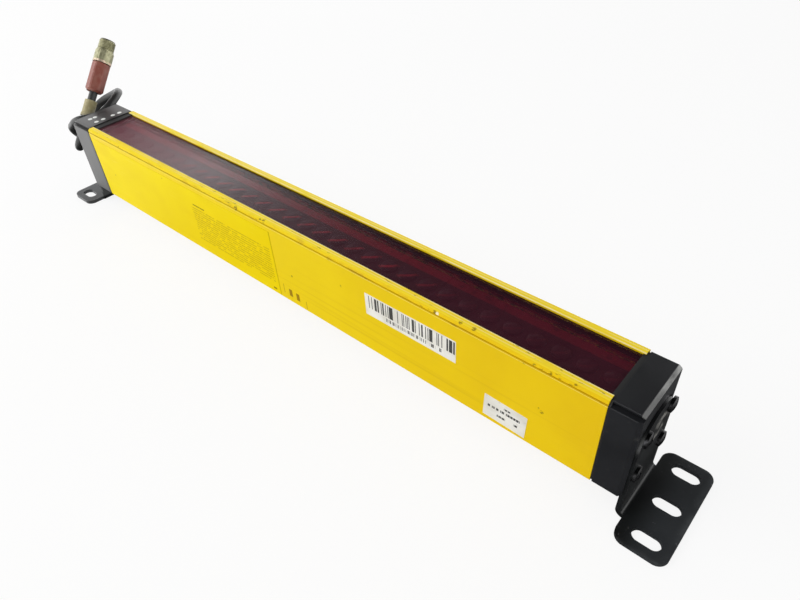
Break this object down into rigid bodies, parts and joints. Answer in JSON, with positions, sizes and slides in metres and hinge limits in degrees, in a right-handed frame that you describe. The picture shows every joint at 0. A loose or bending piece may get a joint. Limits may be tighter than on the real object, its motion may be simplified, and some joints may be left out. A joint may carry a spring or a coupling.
{
  "type": "safety light curtain",
  "caption": "Long slim yellow safety light curtain with a dark filter window, black end caps, folded slotted mounting brackets and a short cable with a round screw connector.",
  "frame": {"origin": "on the mounting surface, midway between the two feet", "axes": "+X along the housing towards the blank end, -Y the labelled side, +Z from the mounting surface up to the window"},
  "size_m": [0.5203, 0.0719, 0.1091],
  "materials": {
    "yellow_paint": "satin powder coat",
    "window_filter": "dark red filter sheet",
    "seal_rubber": "matte",
    "cap_plastic": "fine texture",
    "bracket_black": "black paint",
    "screw_steel": "dark zinc",
    "carrier_black": "matte",
    "lens_red": "dark red clear plastic",
    "board_green": "circuit board lacquer",
    "part_black": "moulded",
    "element_clear": "clear moulded",
    "pipe_white": "milky",
    "gland_black": "satin",
    "lead_grey": "matte",
    "cable_black": "satin jacket",
    "sleeve_tan": "matte",
    "grip_red": "satin moulded",
    "insert_black": "satin",
    "connector_seal": "matte",
    "pin_gold": "plated",
    "nut_nickel": "dull nickel",
    "label_yellow": "printed film",
    "sticker_white": "paper"
  },
  "bodies": {
    "curtain": {"barcode_sticker": "sticker_white", "beam_elements_1": "element_clear", "beam_elements_2": "element_clear", "beam_elements_3": "element_clear", "beam_elements_4": "element_clear", "bracket_far": "bracket_black", "bracket_near": "bracket_black", "cable": "cable_black", "connector_grip": "grip_red", "connector_insert": "insert_black", "connector_seal": "connector_seal", "contact_pins": "pin_gold", "control_board": "board_green", "control_parts": "part_black", "driver_board": "board_green", "driver_parts": "part_black", "element_board_1": "board_green", "element_board_2": "board_green", "element_board_3": "board_green", "element_board_4": "board_green", "end_cap_far": "cap_plastic", "end_cap_near": "cap_plastic", "front_window": "window_filter", "gasket_far": "seal_rubber", "gasket_near": "seal_rubber", "gland_body": "gland_black", "gland_dome": "gland_black", "gland_locknut": "gland_black", "housing_extrusion": "yellow_paint", "indicator_board": "board_green", "indicator_lamps": "part_black", "inner_leads": "lead_grey", "lens_strip_1": "lens_red", "lens_strip_2": "lens_red", "lens_strip_3": "lens_red", "lens_strip_4": "lens_red", "light_pipes": "pipe_white", "marker_sleeve": "sleeve_tan", "optic_carrier_1": "carrier_black", "optic_carrier_2": "carrier_black", "optic_carrier_3": "carrier_black", "optic_carrier_4": "carrier_black", "screws_far": "screw_steel", "screws_near": "screw_steel", "side_label": "label_yellow", "small_sticker": "sticker_white", "window_seal_far": "seal_rubber", "window_seal_near": "seal_rubber"},
    "nut": {"coupling_nut": "nut_nickel"}
  },
  "joints": [
    {"name": "nut_turn", "type": "hinge", "parent": "curtain", "child": "nut", "pos_m": [-0.24293, 0.02648, 0.09234], "axis": [-0.194, 0.679, 0.708], "continuous": true}
  ]
}
